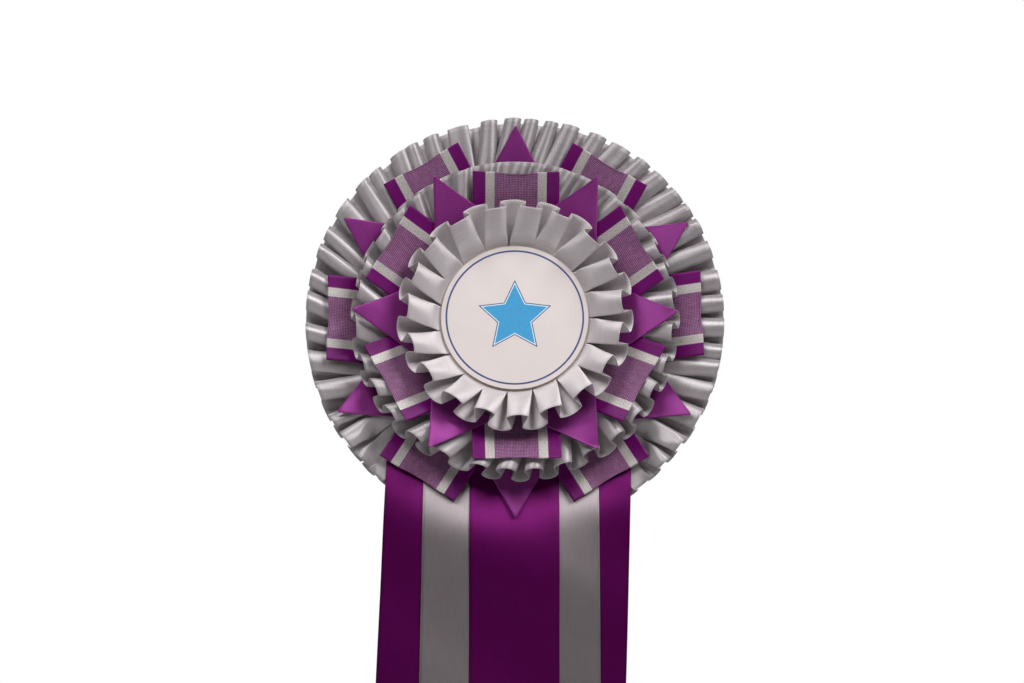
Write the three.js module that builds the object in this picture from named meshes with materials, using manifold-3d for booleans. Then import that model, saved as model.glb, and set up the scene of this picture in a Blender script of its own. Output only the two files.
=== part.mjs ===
// A three-tier award rosette with five hanging tails and a brooch bar, in millimetres.
// Each piece is modelled facing the viewer: X to the right, Y up and Z forward, from the back cover.
// The group at the end turns that frame so that +Z is up and the rosette faces -Y.
import * as THREE from 'three'
import { mergeVertices } from 'three/addons/utils/BufferGeometryUtils.js'
import Module from 'manifold-3d'

const wasm = await Module()
wasm.setup()

// Ribbon stock.
const PLEAT_THICKNESS = 0.8
const TAIL_THICKNESS = 0.3
const LOOP_WIDTH = 50
const LOOP_LAYER = 0.3
const LOOP_HEIGHT = 1.2
const POINT_THICKNESS = 1.0

// Boards, pads and the printed centre: radius, and the rear and front of each one.
const BACK_COVER = { radius: 86, rear: 0, front: 0.6 }
const BASE_CARD = { radius: 88, rear: 0.9, front: 2.4 }
const LOWER_PAD = { radius: 48, rear: 2.7, front: 8.6 }
const MIDDLE_CARD = { radius: 62, rear: 8.9, front: 10.1 }
const UPPER_PAD = { radius: 34, rear: 10.4, front: 14.1 }
const INNER_CARD = { radius: 36, rear: 14.4, front: 15.4 }
const CENTRE_PAD = { radius: 31, rear: 15.7, front: 18.4 }
const CENTRE_BOARD = { radius: 42.4, rear: 18.7, front: 19.7 }
const CENTRE_PRINT = { radius: 42.2, rear: 20.0, front: 20.25 }
const DISC_SEGMENTS = 72

// Pleated frills. Each rail lists [radius, forward distance] from the heading out to the free edge:
// the rear rail carries the pleats that fold back, the front rail the lobes that stand forward.
const OUTER_FRILL = {
  pleats: 50,
  rear: [[78, 3.2], [81, 3.2], [119.3, 5.3]],
  front: [[78, 3.3], [81, 3.9], [118.8, 19.6]],
}
const MIDDLE_FRILL = {
  pleats: 33,
  rear: [[55.5, 10.9], [58.5, 10.9], [94.5, 14.9]],
  front: [[55.5, 11.0], [58.5, 11.5], [91, 28]],
}
const INNER_FRILL = {
  pleats: 19,
  rear: [[31.8, 16.1], [34.8, 16.1], [42.4, 17.3], [67.7, 28.6]],
  front: [[31.8, 16.2], [34.8, 16.6], [42.4, 17.9], [61, 38.6]],
}
// Where in one pleat the four corners of the corrugation lie, and which of them are on the front rail.
const PLEAT_PHASES = [0, 0.32, 0.5, 0.82]
const PLEAT_IN_FRONT = [0, 0, 1, 1]

// Stitching along each heading.
const THREAD_RADIUS = 0.25
const THREAD_SEGMENTS = 30
const THREAD_SIDES = 5
const OUTER_STITCH = { radius: 79.5, forward: 4.95 }
const MIDDLE_STITCH = { radius: 57, forward: 12.6 }
const INNER_STITCH = { radius: 33.3, forward: 17.7 }

// Decoration laid on the frills.
const DECOR_COUNT = 6
const OUTER_LOOP = { start: 76, kink: 84, middle: 96, fold: 107.5 }
const OUTER_POINT = { base: 83, tip: 114.5, halfWidth: 17.8 }
const MIDDLE_LOOP = { start: 50.5, kink: 60, middle: 71, fold: 82.5 }
const MIDDLE_POINT = { base: 62, tip: 92, halfWidth: 17 }
const LOOP_STEPS = 6
const TAIL_LAYER_STEP = 0.8
const TAIL_LAYERS_UNDER_DECOR = 2.4
const POINT_OVER_LOOP = 2.0
const FIRST_LAYER_GAP = 0.4

// Hanging tails: edges at the rim and at the tip, top end, rise of the tip's corners and layer from the back.
// Every top lies a whole number of the first spacing above -84, so that the rows of all tails line up.
const TAIL_TIP = -330
const TAILS = [
  { name: 'tail_purple_left', layer: 0, rim: [-73.7, -35.7], tip: [-82, -44], top: -69, end: [22, 0] },
  { name: 'tail_purple_right', layer: 0, rim: [27.7, 65.7], tip: [20, 58], top: -69, end: [0, 22] },
  { name: 'tail_silver_left', layer: 1, rim: [-52, -14], tip: [-55, -17], top: -59, end: [20, 0] },
  { name: 'tail_silver_right', layer: 1, rim: [9.7, 47.7], tip: [10, 48], top: -59, end: [0, 20] },
  { name: 'tail_purple_centre', layer: 2, rim: [-25.5, 25.5], tip: [-25.5, 24.5], top: -54, end: [0, 0] },
]
const TAIL_COLUMNS = 4
const TAIL_NOTCH = 24
const TAIL_RIM = -100
const TAIL_CUT_START = -270
const TAIL_SPACING = [[-84, 5], [-126, 3.5], [-154, 7], [TAIL_TIP, 22]]
const RIM_RADIUS = 122.5
const HANG_START = -119.5
const HANG_REST = 6
const HANG_LENGTH = 60
const HANG_POWER = 1.2

// Brooch bar on the back. Its needle lies along X, and these are distances behind the back cover.
const PIN_HEIGHT = 40
const NEEDLE_BEHIND = 5.4
const PAD = { length: 30, width: 7, near: 0.3, far: 1.3 }
const PLATE = { length: 36, width: 6, near: 1.6, far: 2.4 }
const HINGE_X = -15
const EAR = { length: 4, thickness: 0.8, inner: 1.3, far: 6.8, hole: 0.7 }
const RIVET = { radius: 0.6, half: 2.4, headRadius: 1.1, headHalf: 2.9 }
const EYE = { radius: 1.5, hole: 0.72, half: 1.1 }
const NEEDLE = { radius: 0.45, start: -14, taper: 14.8, end: 17.4, tipRadius: 0.08 }
const CATCH = { start: 12, end: 15, inner: 1.95, outer: 2.5, halfSlot: 42, post: 3.4, postWidth: 2.4 }
const SLEEVE = { start: 11, end: 16, inner: 1.3, outer: 1.85, halfSlot: 40 }
const COLLAR = { outer: 2.6, width: 0.7 }
const TAB = { inner: 2.2, outer: 4.4, width: 1.4 }
const ROUND_SEGMENTS = 16
const ARC_SEGMENTS = 12

const colours = {
  silverSatin: { color: 0xb2acac, roughness: 0.42, metalness: 0 },
  purpleSatin: { color: 0x6e1e6e, roughness: 0.42, metalness: 0 },
  noveltyRibbon: { color: 0x784678, roughness: 0.55, metalness: 0 },
  thread: { color: 0xd8d2cc, roughness: 0.8, metalness: 0 },
  whiteCard: { color: 0xe4dad8, roughness: 0.75, metalness: 0 },
  greyBoard: { color: 0x9a938b, roughness: 0.9, metalness: 0 },
  foam: { color: 0xf0efe8, roughness: 0.95, metalness: 0 },
  print: { color: 0xe6dcda, roughness: 0.35, metalness: 0 },
  steel: { color: 0xb9bcc0, roughness: 0.3, metalness: 1 },
}

// Rosette group: +Y of the pieces becomes +Z, and their +Z becomes -Y.
const rosette = new THREE.Group()
rosette.rotation.x = Math.PI / 2

function addPiece(name, geometry, look) {
  const mesh = new THREE.Mesh(geometry, new THREE.MeshStandardMaterial(colours[look]))
  mesh.name = name
  rosette.add(mesh)
  return mesh
}

// Welds a geometry's shared corners so that it is one closed surface.
function weld(geometry) {
  const bare = geometry.clone()
  bare.deleteAttribute('normal')
  bare.deleteAttribute('uv')
  return mergeVertices(bare, 1e-4)
}

// Moves every vertex of a geometry to the point that moveTo writes for it.
function reshape(geometry, moveTo) {
  const welded = weld(geometry)
  const position = welded.attributes.position
  const vertex = new THREE.Vector3()
  for (let i = 0; i < position.count; i += 1) {
    vertex.fromBufferAttribute(position, i)
    moveTo(vertex)
    position.setXYZ(i, vertex.x, vertex.y, vertex.z)
  }
  welded.computeVertexNormals()
  return welded
}

function toSolid(geometry) {
  const welded = weld(geometry)
  return new wasm.Manifold(new wasm.Mesh({
    numProp: 3,
    vertProperties: new Float32Array(welded.attributes.position.array),
    triVerts: new Uint32Array(welded.index.array),
  }))
}

function toGeometry(solid) {
  const mesh = solid.getMesh()
  const geometry = new THREE.BufferGeometry()
  geometry.setAttribute('position', new THREE.BufferAttribute(new Float32Array(mesh.vertProperties), 3))
  geometry.setIndex(new THREE.BufferAttribute(new Uint32Array(mesh.triVerts), 1))
  geometry.computeVertexNormals()
  return geometry
}

// A round board or pad with its axis along Z.
function disc({ radius, rear, front }) {
  const geometry = new THREE.CylinderGeometry(radius, radius, front - rear, DISC_SEGMENTS)
  geometry.rotateX(Math.PI / 2)
  geometry.translate(0, 0, (rear + front) / 2)
  return weld(geometry)
}

// A pleated ribbon ring: a closed band through the corners of the corrugation, with its front and rear
// faces split along the same diagonals, from the rear rail near the heading to the front rail near the edge.
function frill({ pleats, rear, front }) {
  const stations = rear.length
  const corners = PLEAT_PHASES.length
  const segments = pleats * corners
  const positions = []
  for (let segment = 0; segment < segments; segment += 1) {
    const corner = segment % corners
    const rail = PLEAT_IN_FRONT[corner] ? front : rear
    const angle = ((Math.floor(segment / corners) + PLEAT_PHASES[corner]) / pleats) * 2 * Math.PI
    for (const [radius, forward] of rail) {
      for (const side of [-0.5, 0.5]) {
        positions.push(radius * Math.cos(angle), radius * Math.sin(angle), forward + side * PLEAT_THICKNESS)
      }
    }
  }
  const vertexAt = (segment, station, side) => ((segment % segments) * stations + station) * 2 + side
  const faces = []
  const addFlat = (a, b, c, d) => faces.push(a, b, c, a, c, d)
  for (let segment = 0; segment < segments; segment += 1) {
    const next = segment + 1
    const falling = PLEAT_IN_FRONT[segment % corners] > PLEAT_IN_FRONT[next % corners]
    for (let station = 0; station < stations - 1; station += 1) {
      for (const side of [0, 1]) {
        const ring = [
          vertexAt(segment, station, side), vertexAt(segment, station + 1, side),
          vertexAt(next, station + 1, side), vertexAt(next, station, side),
        ]
        const [a, b, c, d] = falling ? [ring[1], ring[2], ring[3], ring[0]] : ring
        if (side === 1) {
          addFlat(a, b, c, d)
        } else {
          addFlat(a, d, c, b)
        }
      }
    }
    const last = stations - 1
    addFlat(vertexAt(segment, 0, 0), vertexAt(segment, 0, 1), vertexAt(next, 0, 1), vertexAt(next, 0, 0))
    addFlat(vertexAt(segment, last, 0), vertexAt(next, last, 0), vertexAt(next, last, 1), vertexAt(segment, last, 1))
  }
  const geometry = new THREE.BufferGeometry()
  geometry.setAttribute('position', new THREE.Float32BufferAttribute(positions, 3))
  geometry.setIndex(faces)
  geometry.computeVertexNormals()
  return geometry
}

// The stitching that gathers a heading: a thin thread ring.
function stitchRing({ radius, forward }) {
  const profile = []
  for (let side = 0; side <= THREAD_SIDES; side += 1) {
    const angle = ((side % THREAD_SIDES) / THREAD_SIDES) * 2 * Math.PI
    profile.push(new THREE.Vector2(radius + THREAD_RADIUS * Math.cos(angle), THREAD_RADIUS * Math.sin(angle)))
  }
  const ring = new THREE.LatheGeometry(profile, THREAD_SEGMENTS)
  ring.rotateX(Math.PI / 2)
  ring.translate(0, 0, forward)
  return weld(ring)
}

// Height of the frill's front rail above which decoration and tails lie, at a radius.
function overFrill({ front }, stitch, radius) {
  const [innerRadius, innerForward] = front[1]
  const [outerRadius, outerForward] = front[2]
  const slope = (outerForward - innerForward) / (outerRadius - innerRadius)
  const top = innerForward + slope * (radius - innerRadius) + PLEAT_THICKNESS / 2
  return Math.max(top, stitch.forward + THREAD_RADIUS) + FIRST_LAYER_GAP
}

function overOuterFrill(radius) {
  return overFrill(OUTER_FRILL, OUTER_STITCH, Math.min(radius, RIM_RADIUS))
}

function overMiddleFrill(radius) {
  return overFrill(MIDDLE_FRILL, MIDDLE_STITCH, radius)
}

// A ribbon folded back on itself: a U section in the radial plane, as wide as the ribbon, draped over
// a frill from the kink outward and level from there to its inner end. It is made for the direction straight up.
function foldedLoop({ start, kink, middle, fold }, lift, overFrillAt) {
  const outerBend = LOOP_HEIGHT / 2
  const innerBend = outerBend - LOOP_LAYER
  const bend = fold - outerBend
  const section = new THREE.Shape()
  section.moveTo(start, 0)
  for (const along of [kink, middle, bend]) {
    section.lineTo(along, 0)
  }
  section.absarc(bend, outerBend, outerBend, -Math.PI / 2, Math.PI / 2, false)
  for (const along of [middle, kink, start]) {
    section.lineTo(along, LOOP_HEIGHT)
  }
  for (const along of [start, kink, middle, bend]) {
    section.lineTo(along, LOOP_HEIGHT - LOOP_LAYER)
  }
  section.absarc(bend, outerBend, innerBend, Math.PI / 2, -Math.PI / 2, true)
  for (const along of [middle, kink, start]) {
    section.lineTo(along, LOOP_LAYER)
  }
  const strip = new THREE.ExtrudeGeometry(section, {
    depth: LOOP_WIDTH, steps: LOOP_STEPS, bevelEnabled: false, curveSegments: 3,
  })
  return reshape(strip, (vertex) => {
    const along = vertex.x
    const height = vertex.y
    const across = vertex.z - LOOP_WIDTH / 2
    const radius = Math.hypot(Math.max(along, kink), across)
    vertex.set(across, along, lift + height + overFrillAt(radius))
  })
}

// A ribbon folded to a triangular point, draped over a frill. It is made for the direction straight up.
function foldedPoint({ base, tip, halfWidth }, lift, overFrillAt) {
  const outline = new THREE.Shape()
  outline.moveTo(-halfWidth, base)
  outline.lineTo(halfWidth, base)
  outline.lineTo(0, tip)
  const flat = new THREE.ExtrudeGeometry(outline, { depth: POINT_THICKNESS, bevelEnabled: false })
  return reshape(flat, (vertex) => {
    vertex.z += lift + overFrillAt(Math.hypot(vertex.x, vertex.y))
  })
}

// Six of one decoration, evenly turned about the centre, starting at an angle from the right.
function decorRing(name, startAngle, make) {
  for (let index = 0; index < DECOR_COUNT; index += 1) {
    const angle = startAngle - index * (360 / DECOR_COUNT)
    const piece = addPiece(`${name}_${index + 1}`, make(angle), name.includes('loop') ? 'noveltyRibbon' : 'purpleSatin')
    piece.rotation.z = THREE.MathUtils.degToRad(angle - 90)
  }
}

// Decoration at the bottom of the outer ring lies over the tails.
function liftOverTails(angle) {
  const fromBottom = Math.abs(((angle + 90 + 540) % 360) - 180)
  return fromBottom < 45 ? TAIL_LAYERS_UNDER_DECOR : 0
}

// Forward distance of a tail's back face: over the frill's lobes, then hanging down from its rim.
function tailForward(x, y) {
  const onFrill = overOuterFrill(Math.hypot(x, y))
  const drop = Math.max(0, HANG_START - y)
  const rim = overOuterFrill(RIM_RADIUS)
  const hanging = HANG_REST + (rim - HANG_REST) * Math.exp(-((drop / HANG_LENGTH) ** HANG_POWER))
  return Math.min(onFrill, hanging)
}

// Heights of a tail's rows: close together over the frill, where it bends, and wide apart below it.
function tailRows(top) {
  const rows = []
  let y = top
  for (const [until, spacing] of TAIL_SPACING) {
    for (; y > until; y -= spacing) {
      rows.push(y)
    }
    y = until
  }
  rows.push(TAIL_TIP)
  return rows
}

// One flat ribbon tail: a grid strip bent over the frill, with its tip cut slanting or notched.
function tail({ layer, rim, tip, top, end }) {
  const rows = tailRows(top)
  const notched = end[0] === end[1]
  const strip = new THREE.BoxGeometry(1, 1, 1, TAIL_COLUMNS, rows.length - 1, 1)
  return reshape(strip, (vertex) => {
    const across = vertex.x + 0.5
    const row = rows[Math.round((0.5 - vertex.y) * (rows.length - 1))]
    const notch = notched ? TAIL_NOTCH * (1 - Math.abs(2 * across - 1)) : 0
    const rise = notch + THREE.MathUtils.lerp(end[0], end[1], across)
    const y = row + rise * Math.max(0, (TAIL_CUT_START - row) / (TAIL_CUT_START - TAIL_TIP))
    const toTip = (y - TAIL_RIM) / (TAIL_TIP - TAIL_RIM)
    const left = THREE.MathUtils.lerp(rim[0], tip[0], toTip)
    const right = THREE.MathUtils.lerp(rim[1], tip[1], toTip)
    const x = THREE.MathUtils.lerp(left, right, across)
    const forward = tailForward(x, y) + layer * TAIL_LAYER_STEP
    vertex.set(x, y, forward + (vertex.z + 0.5) * TAIL_THICKNESS)
  })
}

// A box between two corners.
function block(x0, x1, y0, y1, z0, z1) {
  const geometry = new THREE.BoxGeometry(x1 - x0, y1 - y0, z1 - z0)
  geometry.translate((x0 + x1) / 2, (y0 + y1) / 2, (z0 + z1) / 2)
  return geometry
}

// A round rod along Y at a place on the hinge line.
function rodAlongY(radius, half, x, y, z) {
  const geometry = new THREE.CylinderGeometry(radius, radius, 2 * half, ROUND_SEGMENTS)
  geometry.translate(x, y, z)
  return geometry
}

// A tube along X with a slot in its rear side, centred on the needle.
function slottedTube(inner, outer, halfSlot, start, end) {
  const from = THREE.MathUtils.degToRad(-90 + halfSlot)
  const to = THREE.MathUtils.degToRad(270 - halfSlot)
  const section = new THREE.Shape()
  section.absarc(0, 0, outer, from, to, false)
  section.absarc(0, 0, inner, to, from, true)
  section.closePath()
  const tube = new THREE.ExtrudeGeometry(section, {
    depth: end - start, bevelEnabled: false, curveSegments: ARC_SEGMENTS,
  })
  // The section's x and y become Y and Z, and its depth becomes X.
  const turn = new THREE.Matrix4().makeBasis(
    new THREE.Vector3(0, 1, 0), new THREE.Vector3(0, 0, 1), new THREE.Vector3(1, 0, 0),
  )
  tube.applyMatrix4(turn)
  tube.translate(start, PIN_HEIGHT, -NEEDLE_BEHIND)
  return tube
}

// The brooch bar: plate, two hinge ears and the fixed catch with its post.
function broochBase() {
  const halfWidth = PLATE.width / 2
  let solid = toSolid(block(
    -PLATE.length / 2, PLATE.length / 2, PIN_HEIGHT - halfWidth, PIN_HEIGHT + halfWidth, -PLATE.far, -PLATE.near,
  ))
  const middleOfPlate = (PLATE.near + PLATE.far) / 2
  for (const side of [-1, 1]) {
    const near = PIN_HEIGHT + side * EAR.inner
    const far = PIN_HEIGHT + side * (EAR.inner + EAR.thickness)
    const ear = block(
      HINGE_X - EAR.length / 2, HINGE_X + EAR.length / 2,
      Math.min(near, far), Math.max(near, far), -EAR.far, -middleOfPlate,
    )
    solid = solid.add(toSolid(ear))
  }
  solid = solid.subtract(toSolid(rodAlongY(EAR.hole, PLATE.width, HINGE_X, PIN_HEIGHT, -NEEDLE_BEHIND)))
  const post = block(
    CATCH.start, CATCH.end, PIN_HEIGHT - CATCH.postWidth / 2, PIN_HEIGHT + CATCH.postWidth / 2,
    -CATCH.post, -middleOfPlate,
  )
  const tube = slottedTube(CATCH.inner, CATCH.outer, CATCH.halfSlot, CATCH.start, CATCH.end)
  return toGeometry(solid.add(toSolid(post)).add(toSolid(tube)))
}

// The rivet that the needle turns on, with a head at each end.
function hingeRivet() {
  const profile = [
    [0, -RIVET.headHalf], [RIVET.headRadius, -RIVET.headHalf], [RIVET.headRadius, -RIVET.half],
    [RIVET.radius, -RIVET.half], [RIVET.radius, RIVET.half], [RIVET.headRadius, RIVET.half],
    [RIVET.headRadius, RIVET.headHalf], [0, RIVET.headHalf],
  ].map(([radius, height]) => new THREE.Vector2(radius, height))
  const rivet = new THREE.LatheGeometry(profile, ROUND_SEGMENTS)
  rivet.translate(HINGE_X, PIN_HEIGHT, -NEEDLE_BEHIND)
  return weld(rivet)
}

// The needle: an eye round the rivet and a tapered wire.
function pinNeedle() {
  const profile = [
    [0, NEEDLE.start], [NEEDLE.radius, NEEDLE.start], [NEEDLE.radius, NEEDLE.taper],
    [NEEDLE.tipRadius, NEEDLE.end], [0, NEEDLE.end],
  ].map(([radius, along]) => new THREE.Vector2(radius, along))
  const wire = new THREE.LatheGeometry(profile, ROUND_SEGMENTS)
  wire.rotateZ(-Math.PI / 2)
  wire.translate(0, PIN_HEIGHT, -NEEDLE_BEHIND)
  const eye = toSolid(rodAlongY(EYE.radius, EYE.half, HINGE_X, PIN_HEIGHT, -NEEDLE_BEHIND))
  const hole = toSolid(rodAlongY(EYE.hole, PLATE.width, HINGE_X, PIN_HEIGHT, -NEEDLE_BEHIND))
  return toGeometry(eye.add(toSolid(wire)).subtract(hole))
}

// The safety sleeve that turns inside the catch, with a collar at each end and a thumb tab.
function catchSleeve() {
  let solid = toSolid(slottedTube(SLEEVE.inner, SLEEVE.outer, SLEEVE.halfSlot, SLEEVE.start, SLEEVE.end))
  const lastCollar = SLEEVE.end - COLLAR.width
  for (const start of [SLEEVE.start, lastCollar]) {
    const collar = slottedTube(SLEEVE.inner, COLLAR.outer, SLEEVE.halfSlot, start, start + COLLAR.width)
    solid = solid.add(toSolid(collar))
  }
  const tab = block(
    lastCollar, SLEEVE.end, PIN_HEIGHT - TAB.outer, PIN_HEIGHT - TAB.inner,
    -NEEDLE_BEHIND - TAB.width / 2, -NEEDLE_BEHIND + TAB.width / 2,
  )
  return toGeometry(solid.add(toSolid(tab)))
}

// Back cover, boards and pads, from the back forward.
addPiece('back_cover', disc(BACK_COVER), 'whiteCard')
addPiece('base_card', disc(BASE_CARD), 'greyBoard')
addPiece('lower_foam_pad', disc(LOWER_PAD), 'foam')
addPiece('middle_card', disc(MIDDLE_CARD), 'greyBoard')
addPiece('upper_foam_pad', disc(UPPER_PAD), 'foam')
addPiece('inner_card', disc(INNER_CARD), 'greyBoard')
addPiece('centre_foam_pad', disc(CENTRE_PAD), 'foam')
addPiece('centre_board', disc(CENTRE_BOARD), 'greyBoard')
addPiece('centre_print', disc(CENTRE_PRINT), 'print')

// Frills and the stitching of their headings.
addPiece('outer_frill', frill(OUTER_FRILL), 'silverSatin')
addPiece('outer_stitching', stitchRing(OUTER_STITCH), 'thread')
addPiece('middle_frill', frill(MIDDLE_FRILL), 'silverSatin')
addPiece('middle_stitching', stitchRing(MIDDLE_STITCH), 'thread')
addPiece('inner_frill', frill(INNER_FRILL), 'silverSatin')
addPiece('inner_stitching', stitchRing(INNER_STITCH), 'thread')

// Tails.
for (const definition of TAILS) {
  addPiece(definition.name, tail(definition), definition.name.includes('silver') ? 'silverSatin' : 'purpleSatin')
}

// Folded points and ribbon loops, alternating round each tier.
decorRing('outer_point', 90, (angle) => foldedPoint(OUTER_POINT, liftOverTails(angle), overOuterFrill))
decorRing('outer_loop', 60, (angle) => foldedLoop(OUTER_LOOP, liftOverTails(angle), overOuterFrill))
decorRing('middle_point', 60, () => foldedPoint(MIDDLE_POINT, POINT_OVER_LOOP, overMiddleFrill))
decorRing('middle_loop', 90, () => foldedLoop(MIDDLE_LOOP, 0, overMiddleFrill))

// Brooch bar on the back cover.
addPiece('pin_adhesive_pad', weld(block(
  -PAD.length / 2, PAD.length / 2, PIN_HEIGHT - PAD.width / 2, PIN_HEIGHT + PAD.width / 2, -PAD.far, -PAD.near,
)), 'foam')
addPiece('pin_base', broochBase(), 'steel')
addPiece('hinge_rivet', hingeRivet(), 'steel')
addPiece('pin_needle', pinNeedle(), 'steel')
addPiece('catch_sleeve', catchSleeve(), 'steel')

export default rosette
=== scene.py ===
import math

import bpy
import numpy as np
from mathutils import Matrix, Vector


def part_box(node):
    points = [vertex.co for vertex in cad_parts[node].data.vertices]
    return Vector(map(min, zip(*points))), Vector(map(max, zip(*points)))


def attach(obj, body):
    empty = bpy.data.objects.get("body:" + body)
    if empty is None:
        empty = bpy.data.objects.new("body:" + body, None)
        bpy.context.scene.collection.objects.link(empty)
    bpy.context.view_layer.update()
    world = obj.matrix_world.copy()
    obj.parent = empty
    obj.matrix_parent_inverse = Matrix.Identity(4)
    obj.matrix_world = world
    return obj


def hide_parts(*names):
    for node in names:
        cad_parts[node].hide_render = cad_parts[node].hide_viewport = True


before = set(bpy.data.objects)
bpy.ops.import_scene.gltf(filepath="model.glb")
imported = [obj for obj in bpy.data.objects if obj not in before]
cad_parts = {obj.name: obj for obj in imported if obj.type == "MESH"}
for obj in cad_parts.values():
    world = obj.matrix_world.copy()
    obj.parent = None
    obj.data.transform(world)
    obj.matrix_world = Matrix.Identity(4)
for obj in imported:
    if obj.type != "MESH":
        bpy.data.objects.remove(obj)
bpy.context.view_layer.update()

# ---------------- sizes, in metres
MM = 0.001
RIBBON = 38 * MM               # width of the pleated, silver and outer purple ribbon
WIDE = 50 * MM                 # width of the centre tail and of the striped loops
CLOTH = 0.25 * MM              # thickness of satin ribbon
SHEER_CLOTH = 0.18 * MM        # thickness of striped ribbon
PICOT = 1.1 * MM               # pitch of the selvedge's picot dots
HEADING = 3 * MM               # flat stitched part of a frill

disc_low, disc_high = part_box("centre_print")
DISC_RADIUS = (disc_high[0] - disc_low[0]) / 2
DISC_FRONT = -disc_low[1]
BOARD_BACK = -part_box("centre_board")[1][1]
TAIL_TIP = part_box("tail_purple_centre")[0][2]


def mm(*values):
    return [value * MM for value in values]


def place(x, up, forward):
    """A point given to the right, up and forward of the back cover's centre, in the row frame."""
    return np.stack(np.broadcast_arrays(x, -np.asarray(forward), up), axis=-1)


def smooth(share):
    share = np.clip(share, 0, 1)
    return share * share * (3 - 2 * share)


def soft_min(a, b, width):
    return (a + b - np.sqrt((a - b) ** 2 + width**2)) / 2


def soft_max(a, b, width):
    return (a + b + np.sqrt((a - b) ** 2 + width**2)) / 2


# ---------------- mesh helpers
MERGE = 0.001 * MM


def grid_faces(rows, columns, wrap):
    """The four corners of each cell of a grid, which closes on itself sideways if it wraps."""
    index = np.arange(rows * columns).reshape(rows, columns)
    right = np.roll(index, -1, axis=1) if wrap else index[:, 1:]
    left = index if wrap else index[:, :-1]
    return np.stack([left[:-1], right[:-1], right[1:], left[1:]], axis=-1).reshape(-1, 4)


def sheet_mesh(name, points, uv, material, wrap=False, thickness=CLOTH):
    """A cloth grid of points[row, column] with its flat place in metres as UVs, thickened evenly."""
    faces = grid_faces(*points.shape[:2], wrap)
    mesh = bpy.data.meshes.new(name)
    mesh.from_pydata(points.reshape(-1, 3).tolist(), [], faces.tolist())
    layer = mesh.uv_layers.new(name="cloth")
    corner_uv = uv.reshape(-1, 2)[faces]
    if wrap:
        length = uv[..., 0].max() + uv[0, 1, 0] - uv[0, 0, 0]
        behind = corner_uv[..., 0] < corner_uv[:, :1, 0] - length / 2
        corner_uv[..., 0] += behind * length
    layer.data.foreach_set("uv", corner_uv.reshape(-1).astype(np.float32))
    mesh.polygons.foreach_set("use_smooth", [True] * len(faces))
    mesh.materials.append(material)
    piece = bpy.data.objects.new(name, mesh)
    bpy.context.collection.objects.link(piece)
    if thickness:
        solid = piece.modifiers.new("thickness", "SOLIDIFY")
        solid.thickness = thickness
        solid.offset = 0
    return piece


def no_uv(points):
    """UVs for a piece whose material doesn't use them."""
    return np.zeros(points.shape[:2] + (2,))


def weld(piece):
    """Joins the points that lie on each other, which closes a tube or a face."""
    joined = piece.modifiers.new("weld", "WELD")
    joined.merge_threshold = MERGE


def finish_piece(piece, slot, *nodes):
    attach(piece, "root")
    if nodes:
        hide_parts(*nodes)


# ---------------- materials
# The colour sockets of a Mix node: its two inputs, and its output.
MIX_FIRST = 6
MIX_SECOND = 7
MIX_RESULT = 2


def srgb(red, green, blue):
    def linear(value):
        value /= 255
        return value / 12.92 if value <= 0.04045 else ((value + 0.055) / 1.055) ** 2.4
    return (linear(red), linear(green), linear(blue), 1)


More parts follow.
